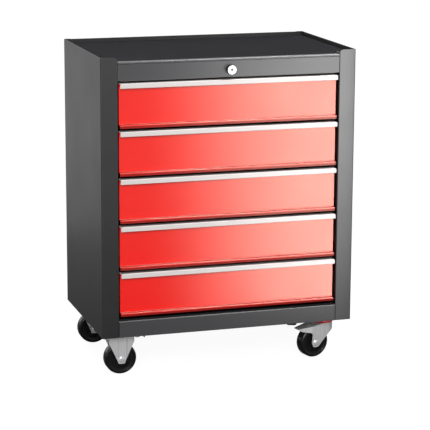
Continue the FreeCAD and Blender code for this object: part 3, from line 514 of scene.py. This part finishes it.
def coated_paint(name, colour, look, groups):
    """Sprayed or powder-coated sheet: peel in its surface, and dust, marks and painted shade in its colour.
    """
    finishes = bpy.context.scene.cabinet_finishes
    material, tree, shader = paint_shader(name, colour, look["roughness"])
    peel = use_group(tree, groups["peel"], {"Grain": 1.0 / finishes.peel_grain,
                                            "Roughness": look["roughness"], "Spread": PAINT_SPREAD})
    film = use_group(tree, groups["dust_and_shade"], {"Color": (*colour, 1.0), "Dust": look["dust"],
                                                "Marks": look["marks"], "Grime": look["grime"]})
    tree.links.new(film.outputs["Color"], shader.inputs["Base Color"])
    tree.links.new(peel.outputs["Roughness"], shader.inputs["Roughness"])
    bump(tree, shader, peel.outputs["Height"], finishes.peel_depth)
    shader.inputs["Specular IOR Level"].default_value = look["level"]
    shader.inputs["Specular Tint"].default_value = (*look["tint"], 1.0)
    return material


def bright_metal(name, colour, look, groups):
    """Plated or drawn metal: zinc is faintly clouded, the rest has fine lines; the lock's face has painted
    shade in its keyhole and the pull's flat top has painted shade.
    """
    material, tree, shader = paint_shader(name, colour, look["roughness"])
    surface = use_group(tree, groups[look["surface"]], {"Roughness": look["roughness"],
                                                        "Contrast": look["contrast"]})
    film = use_group(tree, groups["dust_and_shade"], {"Color": (*colour, 1.0), **METAL_HANDLING})
    if look["surface"] == "clouding":
        surface.inputs["Color"].default_value = (*colour, 1.0)
        tree.links.new(surface.outputs["Color"], film.inputs["Color"])
    if name == "lock_plating":
        # Painted shade in the keyhole of the lock's face
        keyhole_shade = use_group(tree, groups["keyhole"], {"Color": (*colour, 1.0)})
        tree.links.new(keyhole_shade.outputs["Color"], film.inputs["Color"])
    tree.links.new(film.outputs["Color"], shader.inputs["Base Color"])
    tree.links.new(surface.outputs["Roughness"], shader.inputs["Roughness"])
    bump(tree, shader, surface.outputs["Height"], METAL_GRAIN_DEPTH)
    shader.inputs["Metallic"].default_value = look["metallic"]
    if name == "pull_aluminium":
        # Painted shade: the pull's flat top turns more metallic and so shows darker, standing in for the
        # shade under the front above
        shaded_top_metallic = ramp_node(tree, film.outputs["Upward"], start=0.60, end=0.95, top=0.85)
        tree.links.new(math_node(tree, "ADD", shaded_top_metallic, look["metallic"], clamp=True), shader.inputs["Metallic"])
    return material


def moulded(name, colour, look, groups):
    """Rubber or plastic with a fine matt grain, and a polish on the tyres."""
    material, tree, shader = paint_shader(name, colour, look["roughness"])
    peel = use_group(tree, groups["peel"], {"Grain": look["grain"], "Roughness": look["roughness"],
                                            "Spread": MOULD_SPREAD})
    film = use_group(tree, groups["dust_and_shade"], {"Color": (*colour, 1.0), **MOULD_HANDLING})
    tree.links.new(film.outputs["Color"], shader.inputs["Base Color"])
    tree.links.new(peel.outputs["Roughness"], shader.inputs["Roughness"])
    bump(tree, shader, peel.outputs["Height"], MOULD_GRAIN_DEPTH)
    shader.inputs["Specular IOR Level"].default_value = look["level"]
    if name == "rolling_rubber":
        shader.inputs["Coat Weight"].default_value = TYRE_COAT
        shader.inputs["Coat Roughness"].default_value = TYRE_COAT_ROUGHNESS
    return material


def material_named(name):
    """A finish of the cabinet, made the first time it is asked for."""
    if name in bpy.data.materials:
        return bpy.data.materials[name]
    finishes = bpy.context.scene.cabinet_finishes
    groups = {key: bpy.data.node_groups.get(title) or maker() for key, (title, maker) in GROUPS.items()}
    for looks, maker in ((PAINTS, coated_paint), (METALS, bright_metal), (MOULDINGS, moulded)):
        if name in looks:
            return maker(name, getattr(finishes, looks[name]["colour"]), looks[name], groups)
    raise KeyError(name)


def finish_nodes(nodes, material_name):
    """Puts one finish on CAD nodes."""
    for node in nodes:
        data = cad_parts[node].data
        data.materials.clear()
        data.materials.append(material_named(material_name))


# Mesh helpers

def mesh_piece(name, mesh_data, material_name, body, smooth=False):
    """A new object from a bmesh, riding on a body."""
    mesh = bpy.data.meshes.new(name)
    mesh_data.to_mesh(mesh)
    mesh_data.free()
    if smooth:
        for polygon in mesh.polygons:
            polygon.use_smooth = True
    piece = bpy.data.objects.new(name, mesh)
    bpy.context.scene.collection.objects.link(piece)
    mesh.materials.append(material_named(material_name))
    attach(piece, body)
    return piece


def turned_head(shape, head, radius, centre, axis):
    """Adds the head of a screw or rivet to a bmesh, standing on centre along axis."""
    tilt = Vector((0, 0, 1)).rotation_difference(Vector(axis)).to_matrix().to_4x4()
    place = Matrix.Translation(centre) @ tilt
    turns = [2 * math.pi * i / HEAD_SEGMENTS for i in range(HEAD_SEGMENTS)]
    keyhole_shade = []
    for share, height in head:
        if share == 0:
            keyhole_shade.append([shape.verts.new(place @ Vector((0, 0, height)))])
            continue
        reach = share * radius
        points = [(reach * math.cos(turn), reach * math.sin(turn), height) for turn in turns]
        keyhole_shade.append([shape.verts.new(place @ Vector(point)) for point in points])
    for lower, upper in zip(keyhole_shade, keyhole_shade[1:]):
        for i in range(HEAD_SEGMENTS):
            j = (i + 1) % HEAD_SEGMENTS
            if len(upper) == 1:
                shape.faces.new((lower[i], lower[j], upper[0]))
            else:
                shape.faces.new((lower[i], lower[j], upper[j], upper[i]))
    shape.faces.new(list(reversed(keyhole_shade[0])))


def rib_outline(x0, x1, pitch):
    """Points across a ribbed sheet, as (x, share of the rib's height)."""
    count = max(2, round((x1 - x0) / pitch))
    step = (x1 - x0) / count
    outline = [(x0 + i * step + share * step, rise) for i in range(count) for share, rise in RIB_SHAPE]
    return outline + [(x1, 0.0)]


def slide_inner_x(drawer):
    """Half the clear width between the side walls of a drawer box."""
    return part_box(drawer + "_box")[1].x - BOX_SHEET


# Operators

class CABINET_OT_carcass(bpy.types.Operator):
    """Powder coat on the body, enamel on the rails and tray, zinc on what is plated"""
    bl_idname = "cabinet.carcass"
    bl_label = "Carcass Finishes"

    def execute(self, context):
        finish_nodes(["left_side_panel", "right_side_panel", "back_panel", "base_pan", "caster_brackets",
                      "slide_pillars"], "body_powder_coat")
        finish_nodes(["lock_rail", "bottom_rail"], "rail_enamel")
        finish_nodes(["top_tray"], "tray_enamel")
        finish_nodes(["cabinet_runners"], "zinc_plate")
        return {"FINISHED"}


class CABINET_OT_tray_mat(bpy.types.Operator):
    """Ribbed rubber mat in the top tray"""
    bl_idname = "cabinet.tray_mat"
    bl_label = "Ribbed Tray Mat"

    def execute(self, context):
        sizes = context.scene.cabinet_sizes
        low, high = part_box("top_mat")
        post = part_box("right_side_panel")[0]
        behind_post = post.y + POST_RETURN + MAT_GAP
        base = high.z - sizes.mat_rib
        shape = bmesh.new()
        columns = []
        for x, rise in rib_outline(low.x, high.x, sizes.mat_pitch):
            front = behind_post if abs(x) > post.x - MAT_GAP else low.y + RAIL_CAP
            z = base + rise * sizes.mat_rib
            columns.append([shape.verts.new((x, front, low.z)), shape.verts.new((x, front, z)),
                            shape.verts.new((x, high.y, z)), shape.verts.new((x, high.y, low.z))])
        for left, right in zip(columns, columns[1:]):
            for i in range(4):
                j = (i + 1) % 4
                shape.faces.new((left[i], right[i], right[j], left[j]))
        shape.faces.new(columns[0])
        shape.faces.new(list(reversed(columns[-1])))
        bmesh.ops.recalc_face_normals(shape, faces=shape.faces)
        mat = mesh_piece("ribbed_tray_mat", shape, "ribbed_rubber", "carcass")
        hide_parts("top_mat")
        return {"FINISHED"}


class CABINET_OT_drawers(bpy.types.Operator):
    """Red enamel fronts, aluminium pulls, enamelled boxes and plated slides"""
    bl_idname = "cabinet.drawers"
    bl_label = "Drawer Finishes"

    def execute(self, context):
        radius = context.scene.cabinet_sizes.screw_radius
        for drawer in DRAWERS:
            slide_low, slide_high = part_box(drawer + "_runners")
            height = (slide_low.z + slide_high.z) / 2
            wall_x = slide_inner_x(drawer)
            shape = bmesh.new()
            for side in (-1, 1):
                for along in (slide_low.y + SCREW_INSET, slide_high.y - SCREW_INSET):
                    turned_head(shape, PAN_HEAD, radius, (side * wall_x, along, height), (-side, 0, 0))
            mesh_piece(drawer + "_slide_screws", shape, "zinc_plate", drawer, smooth=True)
            finish_nodes([drawer + "_front"], "red_enamel")
            finish_nodes([drawer + "_pull"], "pull_aluminium")
            finish_nodes([drawer + "_box"], "tray_enamel")
            finish_nodes([drawer + "_runners", drawer + "_ball_cages"], "zinc_plate")
        return {"FINISHED"}


class CABINET_OT_lock(bpy.types.Operator):
    """Black lock barrel, bright plug, plated rod and bar"""
    bl_idname = "cabinet.lock"
    bl_label = "Lock Finishes"

    def execute(self, context):
        finish_nodes(["lock_housing", "lock_bar_guides"], "lock_enamel")
        finish_nodes(["lock_plug"], "lock_plating")
        finish_nodes(["lock_rod", "lock_bar"], "zinc_plate")
        return {"FINISHED"}


class CABINET_OT_casters(bpy.types.Operator):
    """Zinc-plated forks and plates, rubber tyres, moulded hubs and dark red seals"""
    bl_idname = "cabinet.casters"
    bl_label = "Caster Finishes"

    def execute(self, context):
        finish_nodes(["front_fixed_fork", "rear_fixed_fork", "fixed_caster_axles", "swivel_caster_plates",
                      "caster_bolts", "front_swivel_fork", "front_swivel_axle", "rear_swivel_fork",
                      "rear_swivel_axle"], "zinc_plate")
        for caster in CASTERS:
            finish_nodes([caster + "_tyre"], "rolling_rubber")
            finish_nodes([caster + "_hub"], "hub_moulding")
        finish_nodes(["front_swivel_seal", "rear_swivel_seal"], "seal_moulding")
        return {"FINISHED"}


class CABINET_OT_rivets(bpy.types.Operator):
    """Domed rivets that hold the back panel to the flanges of the side panels"""
    bl_idname = "cabinet.rivets"
    bl_label = "Back Rivets"

    def execute(self, context):
        radius = context.scene.cabinet_sizes.rivet_radius
        low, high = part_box("left_side_panel")
        across = abs(low.x) - RIVET_INSET
        length = high.z - low.z - 2 * RIVET_MARGIN
        shape = bmesh.new()
        for side in (-1, 1):
            for i in range(RIVETS_A_SIDE):
                height = low.z + RIVET_MARGIN + i * length / (RIVETS_A_SIDE - 1)
                centre = (side * across, high.y - RIVET_SINK, height)
                turned_head(shape, DOMED_HEAD, radius, centre, (0, 1, 0))
        mesh_piece("back_rivets", shape, "zinc_plate", "carcass", smooth=True)
        return {"FINISHED"}


class CABINET_OT_stage(bpy.types.Operator):
    """Pale floor, soft lights and the camera"""
    bl_idname = "cabinet.stage"
    bl_label = "Studio"

    def execute(self, context):
        settings = context.scene.cabinet_stage
        self.make_camera(context, settings)
        self.make_floor(context, settings)
        self.make_world(context, settings)
        self.make_lights(context, settings)
        context.scene.view_settings.view_transform = "Standard"
        return {"FINISHED"}

    def make_camera(self, context, settings):
        """A camera at the left front, looking down and a little rolled."""
        left_turn, tilt, roll = settings.azimuth, settings.elevation, settings.roll
        back = Vector((-math.sin(left_turn) * math.cos(tilt), -math.cos(left_turn) * math.cos(tilt),
                       math.sin(tilt)))
        right = Vector((math.cos(left_turn), -math.sin(left_turn), 0))
        up = right.cross(-back)
        rolled_right = right * math.cos(roll) + up * math.sin(roll)
        rolled_up = up * math.cos(roll) - right * math.sin(roll)
        data = bpy.data.cameras.new("camera")
        data.lens = settings.lens
        data.sensor_width = SENSOR_WIDTH
        data.clip_end = CLIP_END
        camera = bpy.data.objects.new("camera", data)
        place = Vector(settings.target) + back * settings.distance
        camera.matrix_world = Matrix(((rolled_right.x, rolled_up.x, back.x, place.x),
                                      (rolled_right.y, rolled_up.y, back.y, place.y),
                                      (rolled_right.z, rolled_up.z, back.z, place.z),
                                      (0, 0, 0, 1)))
        context.scene.collection.objects.link(camera)
        context.scene.camera = camera

    def make_floor(self, context, settings):
        """A floor that is white to the camera, and whiter in reflections the further off it is: a painted
        shadow around the cabinet in reflections.
        """
        shape = bmesh.new()
        corners = ((-FLOOR_HALF, -FLOOR_HALF), (FLOOR_HALF, -FLOOR_HALF),
                   (FLOOR_HALF, FLOOR_HALF), (-FLOOR_HALF, FLOOR_HALF))
        shape.faces.new([shape.verts.new((x, y, 0.0)) for x, y in corners])
        mesh = bpy.data.meshes.new("studio_floor")
        shape.to_mesh(mesh)
        shape.free()
        floor = bpy.data.objects.new("studio_floor", mesh)
        context.scene.collection.objects.link(floor)
        material = bpy.data.materials.new("studio_floor")
        material.use_nodes = True
        tree = material.node_tree
        shader = tree.nodes["Principled BSDF"]
        shader.inputs["Base Color"].default_value = (*settings.floor_colour, 1)
        shader.inputs["Roughness"].default_value = FLOOR_ROUGHNESS
        white = tree.nodes.new("ShaderNodeEmission")
        paths = tree.nodes.new("ShaderNodeLightPath")
        mirrored = math_node(tree, "MAXIMUM", paths.outputs["Is Glossy Ray"],
                             paths.outputs["Is Transmission Ray"])
        place = tree.nodes.new("ShaderNodeNewGeometry")
        distance = tree.nodes.new("ShaderNodeVectorMath")
        distance.operation = "LENGTH"
        tree.links.new(place.outputs["Position"], distance.inputs[0])
        # Painted shadow: the white that the floor adds in reflections fades out towards the cabinet
        far = ramp_node(tree, distance.outputs["Value"], settings.floor_near, settings.floor_far,
                        settings.floor_mirrored)
        seen = math_node(tree, "MULTIPLY", paths.outputs["Is Camera Ray"], settings.floor_seen)
        glow = math_node(tree, "ADD", seen, math_node(tree, "MULTIPLY", mirrored, far))
        both = tree.nodes.new("ShaderNodeAddShader")
        tree.links.new(glow, white.inputs["Strength"])
        tree.links.new(shader.outputs["BSDF"], both.inputs[0])
        tree.links.new(white.outputs["Emission"], both.inputs[1])
        tree.links.new(both.outputs["Shader"], tree.nodes["Material Output"].inputs["Surface"])
        mesh.materials.append(material)

    def make_world(self, context, settings):
        """White to the camera and in reflections, and dimmer as a light."""
        world = bpy.data.worlds.new("studio_world")
        world.use_nodes = True
        tree = world.node_tree
        even = tree.nodes["Background"]
        even.inputs["Color"].default_value = (1, 1, 1, 1)
        even.inputs["Strength"].default_value = settings.world_level
        white = tree.nodes.new("ShaderNodeBackground")
        white.inputs["Color"].default_value = (1, 1, 1, 1)
        white.inputs["Strength"].default_value = 1.0
        paths = tree.nodes.new("ShaderNodeLightPath")
        seen = math_node(tree, "MAXIMUM", paths.outputs["Is Camera Ray"],
                         math_node(tree, "MAXIMUM", paths.outputs["Is Glossy Ray"],
                                   paths.outputs["Is Transmission Ray"]))
        mix = tree.nodes.new("ShaderNodeMixShader")
        tree.links.new(seen, mix.inputs["Fac"])
        tree.links.new(even.outputs["Background"], mix.inputs[1])
        tree.links.new(white.outputs["Background"], mix.inputs[2])
        tree.links.new(mix.outputs["Shader"], tree.nodes["World Output"].inputs["Surface"])
        context.scene.world = world

    def make_lights(self, context, settings):
        """A fill lamp for the colours, and cards and strips that show only in reflections."""
        for name, (place, aim, width, height, power) in LAMPS.items():
            data = bpy.data.lights.new(name, "AREA")
            data.shape = "RECTANGLE"
            data.size = width
            data.size_y = height
            data.energy = getattr(settings, power)
            lamp = bpy.data.objects.new(name, data)
            lamp.location = place
            direction = Vector(aim) - Vector(place)
            lamp.rotation_mode = "QUATERNION"
            lamp.rotation_quaternion = direction.to_track_quat("-Z", "Y")
            lamp.visible_camera = False
            lamp.visible_diffuse = name == "fill_panel"
            context.scene.collection.objects.link(lamp)
        fronts = [drawer + part for drawer in DRAWERS for part in ("_front", "_pull")]
        wide = ((settings.card_start, settings.card_end), (settings.card_edge, settings.card_trim))
        self.shape_card("front_card", settings, wide, (settings.card_foot, settings.card_full),
                        fronts + ["right_side_panel"], "EXCLUDE")
        self.shape_card("enamel_card", settings, wide, (settings.enamel_foot, settings.enamel_full),
                        fronts, "INCLUDE")
        self.shape_card("post_card", settings, POST_RAMPS,
                        (settings.card_foot + POST_LIFT, settings.card_full + POST_LIFT),
                        ["right_side_panel"], "INCLUDE")

    def shape_card(self, name, settings, across, upward, nodes, state):
        """Fades a card out towards its ends and the floor, and keeps it to some CAD nodes or off them."""
        lamp = bpy.data.objects[name]
        lamp.data.spread = settings.card_spread
        lamp.data.use_nodes = True
        tree = lamp.data.node_tree
        place = tree.nodes.new("ShaderNodeNewGeometry")
        split = tree.nodes.new("ShaderNodeSeparateXYZ")
        tree.links.new(place.outputs["Position"], split.inputs["Vector"])
        lit = ramp_node(tree, split.outputs["Z"], *upward, 1.0)
        for start, end in across:
            lit = math_node(tree, "MULTIPLY", lit, ramp_node(tree, split.outputs["X"], start, end, 1.0))
        tree.links.new(lit, tree.nodes["Emission"].inputs["Strength"])
        linked = bpy.data.collections.new(name + "_nodes")
        for node in nodes:
            linked.objects.link(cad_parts[node])
        for entry in linked.collection_objects:
            entry.light_linking.link_state = state
        lamp.light_linking.receiver_collection = linked


class CABINET_PT_sidebar(bpy.types.Panel):
    """Lists the cabinet's pieces, finishes and studio"""
    bl_idname = "CABINET_PT_sidebar"
    bl_label = "Rolling Tool Cabinet"
    bl_space_type = "VIEW_3D"
    bl_region_type = "UI"
    bl_category = "Tool Cabinet"

    def draw(self, context):
        layout = self.layout
        for operator in OPERATORS:
            layout.operator(operator.bl_idname)
        scene = context.scene
        for settings in (scene.cabinet_finishes, scene.cabinet_sizes, scene.cabinet_stage):
            column = layout.column()
            for name in settings.__annotations__:
                column.prop(settings, name)


OPERATORS = (CABINET_OT_carcass, CABINET_OT_tray_mat, CABINET_OT_drawers, CABINET_OT_lock, CABINET_OT_casters,
             CABINET_OT_rivets, CABINET_OT_stage)
CLASSES = (CabinetFinishes, CabinetSizes, CabinetStage) + OPERATORS + (CABINET_PT_sidebar,)


def register():
    for cls in CLASSES:
        bpy.utils.register_class(cls)
    bpy.types.Scene.cabinet_finishes = bpy.props.PointerProperty(type=CabinetFinishes)
    bpy.types.Scene.cabinet_sizes = bpy.props.PointerProperty(type=CabinetSizes)
    bpy.types.Scene.cabinet_stage = bpy.props.PointerProperty(type=CabinetStage)


def unregister():
    del bpy.types.Scene.cabinet_finishes
    del bpy.types.Scene.cabinet_sizes
    del bpy.types.Scene.cabinet_stage
    for cls in reversed(CLASSES):
        bpy.utils.unregister_class(cls)


def main():
    register()
    bpy.ops.cabinet.carcass()
    bpy.ops.cabinet.tray_mat()
    bpy.ops.cabinet.drawers()
    bpy.ops.cabinet.lock()
    bpy.ops.cabinet.casters()
    bpy.ops.cabinet.rivets()
    bpy.ops.cabinet.stage()


if __name__ == "__main__":
    main()
